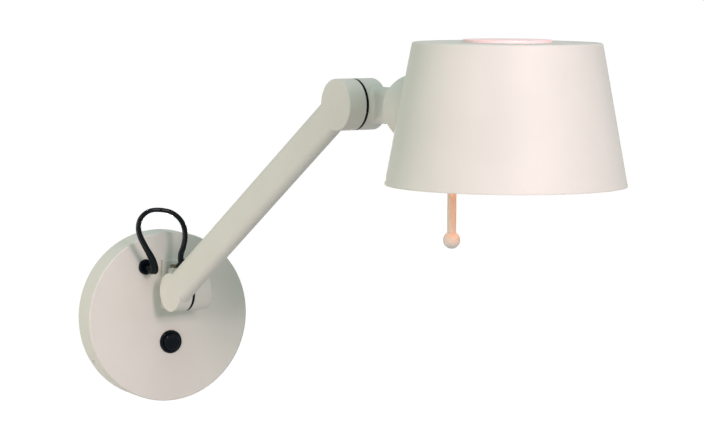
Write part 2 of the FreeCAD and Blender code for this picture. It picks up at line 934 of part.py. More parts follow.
def arm_grommet():
    """A moulded flat-oval grommet, its skirt shaped to the tube's narrow side."""
    crest = tube_height / 2
    skirt = grommet_bar(grommet_width, grommet_length, crest - grommet_skirt, grommet_top)
    skirt = skirt.cut(flat_tube(tube_thickness, tube_height, 0, arm_length / 2))
    neck_width = grommet_slot_width - 2 * running_gap
    neck_length = grommet_slot_length - 2 * running_gap
    neck = grommet_bar(neck_width, neck_length, crest - tube_wall - grommet_inside, crest + grommet_proud / 2)
    bore = round_bar(
        flex_radius + flex_bore_gap,
        Vector(tube_mid, -grommet_along, 0),
        Vector(tube_mid, -grommet_along, grommet_top),
    )
    return join(skirt, neck).cut(bore)


def arm_lead():
    """The flex inside the arm, from the grommet to the elbow's turning plane."""
    points = [
        Vector(tube_mid, -grommet_along, grommet_top),
        Vector(tube_mid, -grommet_along, -arm_lead_drop),
        Vector(tube_mid, -arm_length + elbow_radius + arm_lead_bend, 0),
        Vector(tube_mid, -arm_length + lead_entry_back, -lead_entry_side),
        Vector(elbow_ring - seat_gap, -arm_length + lead_entry_back, -lead_entry_side),
    ]
    return cord_tube(points, flex_radius, "arm_lead")


# ---------------------------------------------------------------- head yoke, neck and ball


def neck_bar(start_out, end_out):
    start = Vector(head_mid, -start_out, 0)
    return stadium(start, RIGHT, UP, tube_thickness, tube_height, OUT * (end_out - start_out))


def neck_root_edges(yoke):
    """The edges where the neck leaves the barrel's round face."""
    edges = []
    for edge in yoke.Edges:
        box = edge.BoundBox
        leaves_barrel = -elbow_radius - neck_root_margin < box.YMin and box.YMax < -elbow_radius / 2
        within_barrel = box.XMin < elbow_end - end_edge_radius - neck_root_margin
        if leaves_barrel and within_barrel and box.ZLength < tube_height:
            edges.append(edge)
    return edges


def head_yoke():
    """The head side of the elbow barrel with its flat-oval neck, one casting."""
    barrel = drum(elbow_radius, elbow_head_face, elbow_end, 0, end_edge_radius)
    yoke = join(barrel, neck_bar(0, neck_end_out))
    yoke = yoke.makeFillet(neck_root_radius, neck_root_edges(yoke))
    slot_start = Vector(neck_slot_mid, -neck_slot_start, 0)
    slot_sweep = OUT * (neck_end_out - neck_slot_start)
    slot = stadium(slot_start, RIGHT, UP, neck_slot_width, neck_slot_height, slot_sweep)
    for hollow in outer_half_cuts(elbow_radius, elbow_head_face, elbow_head_side) + [slot]:
        yoke = yoke.cut(hollow)
    return yoke


def on_head_axis(out):
    """A point on the axis that the head turns about."""
    return Vector(head_mid, -out, 0)


def ball_shell():
    """Hollow ball with a socket for the neck and a flat front that the lid closes."""
    centre = on_head_axis(ball_out)
    ball = Part.makeSphere(ball_radius, centre)
    reach = 2 * ball_radius
    front = block(
        Vector(head_mid - reach, -ball_flat_out - reach, -reach),
        Vector(head_mid + reach, -ball_flat_out, reach),
    )
    hollow_slice = block(
        Vector(head_mid - reach, -ball_lid_out, -reach),
        Vector(head_mid + reach, -ball_hollow_out, reach),
    )
    hollow = Part.makeSphere(ball_hollow_radius, centre).common(hollow_slice)
    lead_hole_start = Vector(neck_lead_side, -neck_end_out, 0)
    lead_hole_end = Vector(neck_lead_side, -ball_hollow_out, 0)
    ball = ball.cut(front).cut(hollow)
    ball = ball.cut(neck_bar(0, neck_end_out))
    ball = ball.cut(round_bar(ball_lead_hole_radius, lead_hole_start, lead_hole_end))
    lid_seat = round_bar(
        ball_lid_radius + running_gap, on_head_axis(ball_lid_out), on_head_axis(ball_flat_out)
    )
    return ball.cut(lid_seat)


def ball_lid():
    return sleeve(
        ball_lid_radius,
        nipple_radius + seat_gap,
        on_head_axis(ball_lid_out),
        on_head_axis(ball_flat_out),
    )


def nipple():
    """Threaded tube that the head turns on and that carries the lead through."""
    return sleeve(
        nipple_radius,
        nipple_bore_radius,
        on_head_axis(ball_lid_out - nipple_inside),
        on_head_axis(nipple_end),
    )


def nipple_locknut():
    start = on_head_axis(ball_lid_out - nipple_nut_thickness)
    end = on_head_axis(ball_lid_out)
    return hexagon(nipple_nut_across, start, end).cut(round_bar(nipple_radius + seat_gap, start, end))


def head_washer():
    start = on_head_axis(ball_flat_out)
    return sleeve(head_washer_radius, nipple_radius + seat_gap, start, on_head_axis(washer_front))


def head_springs():
    washers = []
    for k in range(head_spring_count):
        start = carrier_out + seat_gap + k * head_spring_thickness
        end = start + head_spring_thickness - seat_gap
        washer = sleeve(head_spring_radius, nipple_radius + seat_gap, on_head_axis(start), on_head_axis(end))
        washers.append(washer)
    return Part.makeCompound(washers)


def head_nut():
    start = on_head_axis(head_spring_end + seat_gap)
    end = on_head_axis(head_nut_end)
    return hexagon(nipple_nut_across, start, end).cut(round_bar(nipple_radius + seat_gap, start, end))


def neck_lead():
    """The lead from the elbow's turning plane, through neck, ball and nipple."""
    rise = math.radians(arm_rise)
    start_out = -lead_entry_back * math.cos(rise) + lead_entry_side * math.sin(rise)
    start_z = -lead_entry_back * math.sin(rise) - lead_entry_side * math.cos(rise)
    points = [
        Vector(elbow_head_face + seat_gap, -start_out, start_z),
        Vector(neck_lead_side - lead_entry_shift, -start_out, start_z),
        Vector(neck_lead_side, -elbow_radius - neck_lead_bend, -neck_lead_drop),
        Vector(neck_lead_side, -ball_hollow_out - neck_lead_in_ball, 0),
        Vector(head_mid, -ball_lid_out + nipple_inside + neck_lead_at_nipple, 0),
        Vector(head_mid, -holder_out - strap_thickness, 0),
    ]
    return cord_tube(points, flex_radius, "neck_lead")


# ---------------------------------------------------------------- shade and what it carries


def shade_radius(height):
    """The shade's outer radius at a height."""
    return shade_bottom_radius - shade_slope * (height - shade_bottom)


def shade_cone(inset, low, high):
    """The space inside the shade's outer cone, drawn in by a wall."""
    radius_low = shade_radius(low) - inset
    radius_high = shade_radius(high) - inset
    return Part.makeCone(radius_low, radius_high, high - low, Vector(head_mid, -shade_out, low), UP)


def nipple_bore():
    """The hole for the nipple, from the washer's front through wall and block."""
    return round_bar(nipple_radius + running_gap, on_head_axis(washer_front), on_head_axis(carrier_out))


def shade():
    """Spun cone with a closed top, a middle opening and a rolled lower rim."""
    top_centre = Vector(head_mid, -shade_out, shade_top)
    wall_across = shade_wall * math.hypot(1, shade_slope)
    outer = round_circles(shade_cone(0, shade_bottom, shade_top), shade_top_corner, top_centre)
    inner = shade_cone(wall_across, shade_bottom - overrun, shade_top - shade_wall)
    cone = outer.cut(inner)
    rim_ring_radius = shade_bottom_radius - shade_rim_radius
    rim_centre = Vector(head_mid, -shade_out, shade_bottom + shade_rim_radius)
    rim = Part.makeTorus(rim_ring_radius, shade_rim_radius, rim_centre, UP)
    cone = join(cone, rim)
    opening = round_bar(diffuser_opening_radius, top_centre - UP * (2 * shade_wall), top_centre)
    return cone.cut(opening).cut(nipple_bore())


def diffuser():
    """Opal cap: a raised disc with a hollow spigot that snaps under the shade's top."""
    middle = Vector(head_mid, -shade_out, shade_top)
    top = middle + UP * diffuser_proud
    under = middle - UP * (shade_wall + seat_gap)
    bottom = under - UP * diffuser_bead_depth
    disc = round_circles(round_bar(diffuser_radius, middle, top), diffuser_edge_radius, top)
    spigot = round_bar(diffuser_opening_radius - running_gap, bottom, middle)
    bead = round_bar(diffuser_opening_radius + diffuser_bead, bottom, under)
    core_radius = diffuser_opening_radius - diffuser_wall
    return join(disc, spigot, bead).cut(round_bar(core_radius, bottom, middle))


def shade_seat():
    """Pad between the ball's washer and the sloping shade wall."""
    start = on_head_axis(washer_front + seat_gap)
    pad = round_bar(shade_seat_radius, start, on_head_axis(shade_out))
    pad = pad.cut(shade_cone(0, shade_bottom, shade_top))
    return pad.cut(round_bar(nipple_radius + running_gap, start, on_head_axis(shade_out)))


def carrier_block():
    """Block inside the shade that clamps it to the seat and holds strap and handle."""
    body = block(
        Vector(head_mid - carrier_width / 2, -carrier_out, -carrier_height / 2),
        Vector(head_mid + carrier_width / 2, -washer_front, carrier_height / 2),
    )
    wall_across = shade_wall * math.hypot(1, shade_slope)
    body = body.common(shade_cone(wall_across, shade_bottom, shade_top))
    body = body.cut(nipple_bore())
    rod_top = -carrier_height / 2 + rod_grip
    rod_hole = round_bar(
        rod_radius + running_gap,
        Vector(head_mid, -handle_out, -carrier_height / 2),
        Vector(head_mid, -handle_out, rod_top),
    )
    body = body.cut(rod_hole)
    screw_hole = round_bar(
        rod_screw_radius + running_gap,
        Vector(head_mid, -handle_out, rod_screw_height),
        Vector(head_mid, -carrier_out, rod_screw_height),
    )
    body = body.cut(screw_hole)
    for side in (-1, 1):
        face = Vector(head_mid + side * carrier_width / 2, -strap_screw_out, 0)
        deep = face - RIGHT * side * strap_screw_grip
        body = body.cut(round_bar(strap_screw_radius + running_gap, deep, face))
    return body


rod_screw_height = -carrier_height / 2 + rod_grip / 2
strap_screw_out = carrier_out - strap_grip / 2


def rod_screw():
    inner = Vector(head_mid, -handle_out - rod_radius - running_gap, rod_screw_height)
    outer = Vector(head_mid, -carrier_out, rod_screw_height)
    return round_bar(rod_screw_radius, inner, outer)


def holder_strap():
    """U-shaped strap from the block's two sides to the lampholder."""
    half = carrier_width / 2
    outside = block(
        Vector(head_mid - half - strap_thickness, -holder_out, -strap_width / 2),
        Vector(head_mid + half + strap_thickness, -carrier_out + strap_grip, strap_width / 2),
    )
    inside = block(
        Vector(head_mid - half, -holder_out + strap_thickness, -strap_width / 2),
        Vector(head_mid + half, -carrier_out + strap_grip, strap_width / 2),
    )
    strap = outside.cut(inside)
    web_back = on_head_axis(holder_out - strap_thickness)
    strap = strap.cut(round_bar(nipple_bore_radius, web_back, on_head_axis(holder_out)))
    screw_line = [
        Vector(head_mid - half - strap_thickness, -strap_screw_out, 0),
        Vector(head_mid + half + strap_thickness, -strap_screw_out, 0),
    ]
    return strap.cut(round_bar(strap_screw_radius + running_gap, *screw_line))


def strap_screws():
    screws = []
    for side in (-1, 1):
        seat = Vector(head_mid + side * (carrier_width / 2 + strap_thickness), -strap_screw_out, 0)
        head_end = seat + RIGHT * side * strap_screw_head
        tip = seat - RIGHT * side * (strap_thickness + strap_screw_grip - seat_gap)
        head = round_bar(strap_screw_head_radius, seat, head_end)
        socket_floor = head_end - RIGHT * side * strap_screw_socket
        head = head.cut(hexagon(strap_screw_radius * hex_socket_share, socket_floor, head_end))
        screws.append(join(head, round_bar(strap_screw_radius, tip, seat)))
    return Part.makeCompound(screws)


def lampholder():
    """Moulded lampholder, closed at the strap and open towards the bulb."""
    back = on_head_axis(holder_out)
    mouth = on_head_axis(holder_out + holder_length)
    floor = on_head_axis(holder_out + holder_back)
    outside = round_circles(round_bar(holder_radius, back, mouth), holder_mouth_radius, mouth)
    outside = outside.cut(round_bar(holder_radius - holder_wall, floor, mouth))
    return outside.cut(round_bar(nipple_bore_radius, back, floor))


def holder_contact():
    """Metal sleeve that takes the bulb's cap, on a flange at the lampholder's floor."""
    start = on_head_axis(holder_out + holder_back)
    foot_end = start + OUT * contact_foot
    shell_radius = bulb_cap_radius + seat_gap
    shell = sleeve(shell_radius + contact_wall, shell_radius, start, foot_end + OUT * contact_length)
    foot = sleeve(holder_radius - holder_wall - seat_gap, contact_foot_bore, start, foot_end)
    return join(shell, foot)


def bulb_cap():
    """The bulb's metal cap with its end contact."""
    start = on_head_axis(bulb_base)
    shell = sleeve(bulb_cap_radius, bulb_cap_radius - bulb_cap_wall, start, on_head_axis(bulb_cap_end))
    end_plate = round_bar(bulb_cap_radius, start, start + OUT * bulb_cap_wall)
    contact = round_bar(bulb_tip_radius, start - OUT * bulb_tip_length, start)
    return join(shell, end_plate, contact)


def bulb_shape(inset):
    """A golf-ball bulb: neck, flare and ball, drawn in by a wall."""
    radius = bulb_radius - inset
    flare_back = bulb_radius * bulb_flare_share
    flare_radius = math.sqrt(bulb_radius**2 - flare_back**2) - inset
    neck_start = on_head_axis(bulb_cap_end - bulb_cap_length / 2 + inset)
    flare_start = on_head_axis(bulb_cap_end)
    flare_length = bulb_centre - flare_back
    neck = round_bar(bulb_neck_radius - inset, neck_start, flare_start)
    flare = Part.makeCone(bulb_neck_radius - inset, flare_radius, flare_length, flare_start, OUT)
    return neck.fuse(flare).fuse(Part.makeSphere(radius, on_head_axis(bulb_middle)))


def bulb_glass():
    return bulb_shape(0).cut(bulb_shape(bulb_wall)).removeSplitter()


def handle_rod():
    top = Vector(head_mid, -handle_out, -carrier_height / 2 + rod_grip - seat_gap)
    return round_bar(rod_radius, Vector(head_mid, -handle_out, handle_ball_z), top)


def handle_ball():
    centre = Vector(head_mid, -handle_out, handle_ball_z)
    above = centre + UP * (2 * handle_ball_radius)
    hole = round_bar(rod_radius + seat_gap, centre - UP * seat_gap, above)
    return Part.makeSphere(handle_ball_radius, centre).cut(hole)


# ---------------------------------------------------------------- free loop of flex

# The loop's two stretches meet at its top. The points were set by eye.
flex_top = Vector(-22.4, -59.5, 98.8)
flex_base_points = [
    Vector(gland_x, gland_front_y, gland_z),
    Vector(gland_x, -36.0, gland_z),
    Vector(-22.2, -41.6, 41.5),
    Vector(-21.8, -47.3, 44.7),
    Vector(-26.4, -50.5, 55.4),
    Vector(-34.6, -51.5, 68.0),
    Vector(-40.6, -52.5, 79.7),
    Vector(-40.6, -54.2, 89.8),
    Vector(-35.6, -56.3, 96.6),
    Vector(-28.4, -58.0, 99.3),
    flex_top,
]


def arm_point(side, along, above):
    """A point of the arm frame, in the lamp's frame."""
    return arm_frame.multVec(Vector(side, -along, above))


flex_arm_points = [
    flex_top,
    Vector(-16.4, -61.0, 98.3),
    Vector(-9.2, -63.0, 94.4),
    Vector(-3.5, -65.1, 87.5),
    Vector(-1.6, -66.4, 77.8),
    Vector(-2.9, -66.6, 68.0),
    arm_point(tube_mid, grommet_along, grommet_top + flex_rise),
    arm_point(tube_mid, grommet_along, grommet_top),
]

# ---------------------------------------------------------------- write every node

export("wall_cover", wall_cover())
export("mounting_plate", mounting_plate())
export("plate_tabs", plate_tabs())
export("cover_set_screws", set_screws())
export("terminal_block", terminal_block())
export("terminal_screws", terminal_screws())

export("switch_bezel", switch_bezel())
export("push_button", push_button())
export("button_spring", button_spring())
export("switch_nut", switch_nut())
export("switch_body", switch_body())

export("cable_gland", cable_gland())
export("base_lead", base_lead())

export("wall_bracket", wall_bracket())
export("backing_plate", backing_plate())
export("bracket_screws", bracket_screws())
export("slip_washer", slip_washer(), swivel_frame)
export("pivot_washer", pivot_washer(), swivel_frame)
export("pivot_screw", pivot_screw(), swivel_frame)
export("swivel_knuckle", swivel_knuckle(), swivel_frame)

joints = [
    ("lower", arm_frame, lower_radius, lower_ring, lower_swivel_face, lower_swivel_side),
    ("elbow", head_frame, elbow_radius, elbow_ring, elbow_head_face, elbow_head_side),
]
for name, frame, radius, ring_x, face_x, side_length in joints:
    export(name + "_friction_ring", friction_ring(radius, ring_x), frame)
    export(name + "_bolt", joint_bolt(face_x, side_length), frame)
    export(name + "_disc_springs", disc_springs(face_x, side_length), frame)
    export(name + "_end_plug", end_plug(face_x, side_length), frame)

export("arm", arm(), arm_frame)
export("arm_grommet", arm_grommet(), arm_frame)
export("arm_lead", arm_lead(), arm_frame)

export("head_yoke", head_yoke(), head_frame)
export("ball_shell", ball_shell(), head_frame)
export("ball_lid", ball_lid(), head_frame)
export("nipple", nipple(), head_frame)
export("nipple_locknut", nipple_locknut(), head_frame)
export("head_washer", head_washer(), head_frame)
export("head_springs", head_springs(), head_frame)
export("head_nut", head_nut(), head_frame)
export("neck_lead", neck_lead(), head_frame)

export("shade", shade(), head_frame)
export("diffuser", diffuser(), head_frame)
export("shade_seat", shade_seat(), head_frame)
export("carrier_block", carrier_block(), head_frame)
export("rod_screw", rod_screw(), head_frame)
export("holder_strap", holder_strap(), head_frame)
export("strap_screws", strap_screws(), head_frame)
export("lampholder", lampholder(), head_frame)
export("holder_contact", holder_contact(), head_frame)
export("bulb_cap", bulb_cap(), head_frame)
export("bulb_glass", bulb_glass(), head_frame)
export("handle_rod", handle_rod(), head_frame)
export("handle_ball", handle_ball(), head_frame)

export("flex_base", cord_tube(flex_base_points, flex_radius, "flex_base"))
export("flex_arm", cord_tube(flex_arm_points, flex_radius, "flex_arm"))
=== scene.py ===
import json
import math

import bpy
from mathutils import Matrix, Vector


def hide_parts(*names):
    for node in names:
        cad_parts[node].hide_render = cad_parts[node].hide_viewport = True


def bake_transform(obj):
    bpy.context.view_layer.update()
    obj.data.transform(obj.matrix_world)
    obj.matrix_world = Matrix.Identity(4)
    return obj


# Looks of the articulating wall lamp, in metres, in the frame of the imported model:
# the wall is the plane y = 0, the room lies towards -Y and +Z is up.

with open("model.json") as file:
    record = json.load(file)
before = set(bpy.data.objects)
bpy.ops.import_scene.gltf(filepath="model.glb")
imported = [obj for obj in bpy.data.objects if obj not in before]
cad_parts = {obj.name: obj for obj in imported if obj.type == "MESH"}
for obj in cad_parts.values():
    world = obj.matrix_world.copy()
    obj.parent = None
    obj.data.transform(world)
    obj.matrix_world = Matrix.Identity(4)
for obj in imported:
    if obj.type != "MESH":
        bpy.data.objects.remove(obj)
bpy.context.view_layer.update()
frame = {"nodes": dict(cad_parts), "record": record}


# ---------------------------------------------------------------- helpers


def add_object(name, data):
    """A new object in the scene, from its mesh, curve, camera or light."""
    item = bpy.data.objects.new(name, data)
    bpy.context.scene.collection.objects.link(item)
    return item


def room_direction(turn, rise):
    """The direction at a turn from straight ahead of the wall and a rise, in degrees."""
    turn = math.radians(turn)
    rise = math.radians(rise)
    return Vector((
        math.sin(turn) * math.cos(rise),
        -math.cos(turn) * math.cos(rise),
        math.sin(rise),
    ))


def srgb(red, green, blue):
    """A display colour from 0 to 255 as a linear one."""
    def linear(value):
        share = value / 255
        return share / 12.92 if share <= 0.04045 else ((share + 0.055) / 1.055) ** 2.4

    return tuple(linear(value) for value in (red, green, blue))


def scaled(colour, share):
    """A colour made darker or paler by a share."""
    return tuple(share * channel for channel in colour)


# ---------------------------------------------------------------- camera of the photograph

CAMERA_TURN = -27.358
CAMERA_RISE = 5.390
CAMERA_ROLL = math.radians(0.344)
CAMERA_TARGET = Vector((0.144723, -0.100, 0.087113))
CAMERA_DISTANCE = 2.35749
CAMERA_LENS = 135.79
CAMERA_REACH = 500.0
SENSOR_WIDTH = 36.0


def add_camera():
    """The photograph's viewpoint, as a turn, a rise and a roll about a target."""
    back = room_direction(CAMERA_TURN, CAMERA_RISE)
    level = (-back).cross(Vector((0, 0, 1))).normalized()
    upright = level.cross(-back)
    right = level * math.cos(CAMERA_ROLL) + upright * math.sin(CAMERA_ROLL)
    up = upright * math.cos(CAMERA_ROLL) - level * math.sin(CAMERA_ROLL)
    data = bpy.data.cameras.new("camera")
    data.lens = CAMERA_LENS
    data.sensor_width = SENSOR_WIDTH
    data.clip_end = CAMERA_REACH
    camera = add_object("camera", data)
    turn = Matrix((right, up, back)).transposed().to_4x4()
    camera.matrix_world = Matrix.Translation(CAMERA_TARGET + back * CAMERA_DISTANCE) @ turn
    bpy.context.scene.camera = camera


# ---------------------------------------------------------------- node helpers

# Sockets of a Mix node that is set to colours, which share their names with its other sockets.
MIX_FIRST = 6
MIX_SECOND = 7
MIX_RESULT = 2

# Most values of a noise texture lie in this span.
NOISE_SPAN = (0.3, 0.7)
WHOLE = (0.0, 1.0)


class Surface:
    """A material under construction: its nodes, its links and its Principled shader."""

    def __init__(self, name):
        self.material = bpy.data.materials.new(name)
        self.material.use_nodes = True
        self.nodes = self.material.node_tree.nodes
        self.links = self.material.node_tree.links
        self.shader = self.nodes["Principled BSDF"]
        self.place = self.nodes.new("ShaderNodeTexCoord").outputs["Object"]

    def set(self, **values):
        """Constants on the shader's own sockets."""
        for name, value in values.items():
            self.shader.inputs[name.replace("_", " ")].default_value = value

    def feed(self, name, output):
        """A pattern into one of the shader's sockets."""
        self.links.new(output, self.shader.inputs[name])

    def noise(self, scale, detail=2.0, roughness=0.5):
        node = self.nodes.new("ShaderNodeTexNoise")
        node.inputs["Scale"].default_value = scale
        node.inputs["Detail"].default_value = detail
        node.inputs["Roughness"].default_value = roughness
        self.links.new(self.place, node.inputs["Vector"])
        return node.outputs["Fac"]

    def ramp(self, value, source, target):
        """A value rescaled from the source span to the target span, and held there."""
        node = self.nodes.new("ShaderNodeMapRange")
        node.inputs["From Min"].default_value = source[0]
        node.inputs["From Max"].default_value = source[1]
        node.inputs["To Min"].default_value = target[0]
        node.inputs["To Max"].default_value = target[1]
        self.links.new(value, node.inputs["Value"])
        return node.outputs["Result"]

    def mix(self, factor, first, second):
        """A colour that goes from first to second with a factor."""
        node = self.nodes.new("ShaderNodeMix")
        node.data_type = "RGBA"
        for socket, colour in ((MIX_FIRST, first), (MIX_SECOND, second)):
            if isinstance(colour, tuple):
                node.inputs[socket].default_value = (*colour, 1.0)
            else:
                self.links.new(colour, node.inputs[socket])
        self.links.new(factor, node.inputs["Factor"])
        return node.outputs[MIX_RESULT]

    def soft_edges(self, radius):
        """A normal that rounds the mesh's sharp edges."""
        node = self.nodes.new("ShaderNodeBevel")
        node.samples = 6
        node.inputs["Radius"].default_value = radius
        return node.outputs["Normal"]

    def relief(self, height, strength, depth, edge_radius=None):
        """Bumps of a depth, over edges that are rounded where a radius is given."""
        edges = self.soft_edges(edge_radius) if edge_radius else None
        node = self.nodes.new("ShaderNodeBump")
        node.inputs["Strength"].default_value = strength
        node.inputs["Distance"].default_value = depth
        self.links.new(height, node.inputs["Height"])
        if edges is not None:
            self.links.new(edges, node.inputs["Normal"])
        self.feed("Normal", node.outputs["Normal"])

    def uneven_roughness(self, low, high, scale, detail=2.0):
        """A roughness that wanders between two values."""
        self.feed("Roughness", self.ramp(self.noise(scale, detail), NOISE_SPAN, (low, high)))


# ---------------------------------------------------------------- materials


def powder_coat(name, colour):
    """Matt powder coat: orange peel, faint cloudiness and tiny matter in the film."""
    surface = Surface(name)
    surface.set(Specular_IOR_Level=0.4)
    cloud = surface.ramp(surface.noise(scale=14.0, detail=3.0), (0.35, 0.65), WHOLE)
    tone = surface.mix(cloud, scaled(colour, 0.955), colour)
    speck = surface.ramp(surface.noise(scale=2600.0), (0.62, 0.74), (0.0, 0.35))
    surface.feed("Base Color", surface.mix(speck, tone, scaled(colour, 0.72)))
    surface.uneven_roughness(0.5, 0.64, scale=420.0)
    peel = surface.noise(scale=1100.0, detail=3.0, roughness=0.55)
    surface.relief(peel, strength=0.22, depth=0.00012, edge_radius=0.0004)
    return surface.material


def black_moulding(name, colour, roughness, specular, grain_scale, grain_depth, edge_radius):
    """Black plastic or rubber with a fine moulded grain and a trace of dust."""
    surface = Surface(name)
    surface.set(Specular_IOR_Level=specular)
    dust = surface.ramp(surface.noise(scale=300.0, detail=4.0, roughness=0.6), (0.5, 0.8), (0.0, 0.5))
    dusty = tuple(channel * 1.8 + 0.001 for channel in colour)
    surface.feed("Base Color", surface.mix(dust, colour, dusty))
    surface.uneven_roughness(roughness, roughness + 0.08, scale=160.0, detail=3.0)
    surface.relief(surface.noise(grain_scale), strength=0.35, depth=grain_depth, edge_radius=edge_radius)
    return surface.material


def plated_metal(name, colour, roughness):
    """Plated or blackened metal with fine turned marks and cloudy plating."""
    surface = Surface(name)
    surface.set(Metallic=1.0)
    cloud = surface.ramp(surface.noise(scale=90.0, detail=3.0), NOISE_SPAN, WHOLE)
    surface.feed("Base Color", surface.mix(cloud, scaled(colour, 0.8), colour))
    surface.uneven_roughness(roughness, roughness + 0.15, scale=700.0, detail=3.0)
    marks = surface.nodes.new("ShaderNodeTexWave")
    marks.wave_type = "RINGS"
    marks.inputs["Scale"].default_value = 900.0
    marks.inputs["Distortion"].default_value = 1.5
    surface.links.new(surface.place, marks.inputs["Vector"])
    surface.relief(marks.outputs["Fac"], strength=0.08, depth=0.00005, edge_radius=0.0002)
    return surface.material


def white_moulding(name):
    """Off-white heat-resistant moulding of the lampholder and terminals."""
    surface = Surface(name)
    cloud = surface.ramp(surface.noise(scale=60.0, detail=3.0), (0.35, 0.7), WHOLE)
    surface.feed("Base Color", surface.mix(cloud, srgb(226, 222, 212), srgb(214, 206, 190)))
    surface.uneven_roughness(0.32, 0.5, scale=500.0)
    surface.relief(surface.noise(scale=1800.0), strength=0.2, depth=0.00008, edge_radius=0.0004)
    return surface.material


def opal_plastic(name):
    """Opal cap with a painted warm glow from the bulb below it, as emission and partly as a warm tint of
    its colour.
    """
    surface = Surface(name)
    surface.set(Roughness=0.4, Emission_Strength=0.08)
    cloud = surface.ramp(surface.noise(scale=45.0, detail=3.0), NOISE_SPAN, WHOLE)
    surface.feed("Base Color", surface.mix(cloud, srgb(232, 204, 199), srgb(238, 210, 205)))
    surface.feed("Emission Color", surface.mix(cloud, srgb(255, 188, 180), srgb(255, 202, 194)))
    surface.relief(surface.noise(scale=2000.0), strength=0.15, depth=0.00006, edge_radius=0.0005)
    return surface.material


def lit_bulb(name):
    """Frosted bulb, lit: a warm glow, deeper in colour at its outline."""
    surface = Surface(name)
    surface.set(Roughness=0.35, Emission_Strength=15.5, Base_Color=(0.9, 0.85, 0.75, 1.0))
    facing = surface.nodes.new("ShaderNodeLayerWeight")
    facing.inputs["Blend"].default_value = 0.35
    glow = surface.mix(facing.outputs["Facing"], srgb(255, 158, 88), srgb(255, 134, 68))
    haze = surface.ramp(surface.noise(scale=220.0, detail=3.0), NOISE_SPAN, (0.0, 0.25))
    surface.feed("Emission Color", surface.mix(haze, glow, srgb(255, 146, 78)))
    surface.relief(surface.noise(scale=1500.0), strength=0.1, depth=0.00005)
    return surface.material


PAINT = powder_coat("greige_powder_coat", srgb(212, 211, 199))
GLOSS_BLACK = black_moulding(
    "gloss_black_moulding",
    colour=(0.001, 0.0035, 0.006),
    roughness=0.06,
    specular=0.09,
    grain_scale=1500.0,
    grain_depth=0.00001,
    edge_radius=0.0008,
)
SATIN_BLACK = black_moulding(
    "satin_black_moulding",
    colour=(0.003, 0.0035, 0.0035),
    roughness=0.36,
    specular=0.06,
    grain_scale=1900.0,
    grain_depth=0.00006,
    edge_radius=0.0003,
)
JACKET = black_moulding(
    "black_flex_jacket",
    colour=(0.0008, 0.004, 0.005),
    roughness=0.1,
    specular=0.09,
    grain_scale=2600.0,
    grain_depth=0.000004,
    edge_radius=None,
)
DARK_STEEL = plated_metal("browned_steel", colour=(0.10, 0.095, 0.06), roughness=0.34)
ZINC = plated_metal("bright_zinc", colour=(0.66, 0.67, 0.68), roughness=0.28)
NICKEL = plated_metal("nickel_plate", colour=(0.72, 0.70, 0.66), roughness=0.2)
CREAM = white_moulding("cream_moulding")
OPAL = opal_plastic("opal_cap")
LIT_GLASS = lit_bulb("lit_frosted_bulb")

SLOT_MATERIALS = {
    "painted_steel": PAINT,
    "painted_aluminium": PAINT,
    "zinc_steel": ZINC,
    "black_steel": DARK_STEEL,
    "black_plastic": SATIN_BLACK,
    "black_rubber": SATIN_BLACK,
    "cord_jacket": JACKET,
    "white_moulding": CREAM,
    "opal_plastic": OPAL,
    "bulb_glass": LIT_GLASS,
    "nickel": NICKEL,
}
GLOSSY_NODES = ("push_button", "switch_bezel", "cable_gland")


def dress_cad_nodes():
    """Give every CAD node the material of its slot."""
    for part in frame["record"]["subparts"]:
        materials = frame["nodes"][part["node"]].data.materials
        materials.clear()
        glossy = part["node"] in GLOSSY_NODES
        materials.append(GLOSS_BLACK if glossy else SLOT_MATERIALS[part["material_slot"]])


# ---------------------------------------------------------------- the free loop of flex

FLEX_WIDTH = 0.0064
FLEX_THICKNESS = 0.0040
CORE_STEPS = 14

# Route points, as in the CAD model, from the gland over the loop's top to the grommet.
FLEX_TOP = (-0.0224, -0.0595, 0.0988)
FLEX_BASE_POINTS = [
    (-0.0225, -0.0290, 0.0455),
    (-0.0225, -0.0360, 0.0455),
    (-0.0222, -0.0416, 0.0415),
    (-0.0218, -0.0473, 0.0447),
    (-0.0264, -0.0505, 0.0554),
    (-0.0346, -0.0515, 0.0680),
    (-0.0406, -0.0525, 0.0797),
    (-0.0406, -0.0542, 0.0898),
    (-0.0356, -0.0563, 0.0966),
    (-0.0284, -0.0580, 0.0993),
    FLEX_TOP,
]
FLEX_ARM_POINTS = [
    FLEX_TOP,
    (-0.0164, -0.0610, 0.0983),
    (-0.0092, -0.0630, 0.0944),
    (-0.0035, -0.0651, 0.0875),
    (-0.0016, -0.0664, 0.0778),
    (-0.0029, -0.0666, 0.0680),
    (-0.0074, -0.0667, 0.0576),
    (-0.0070, -0.0700, 0.0527),
]
# Which way the flat flex's width points, at shares of each stretch. At the loop's top it
# points at the viewer, who sees the flex edge-on there.
EDGE_ON = Vector((-0.45, -0.88, 0.09))
FLEX_BASE_TWIST = [
    (0.0, Vector((1.0, 0.0, 0.0))),
    (0.25, Vector((0.9, -0.4, 0.0))),
    (0.5, Vector((0.3, -0.95, 0.0))),
    (0.75, Vector((-0.15, -0.98, 0.1))),
    (1.0, EDGE_ON),
]
FLEX_ARM_TWIST = [
    (0.0, EDGE_ON),
    (0.3, Vector((-0.2, -0.97, 0.1))),
    (0.6, Vector((-0.1, -0.98, 0.1))),
    (0.85, Vector((0.1, -0.96, 0.25))),
    (1.0, Vector((0.10, -0.82, 0.56))),
]


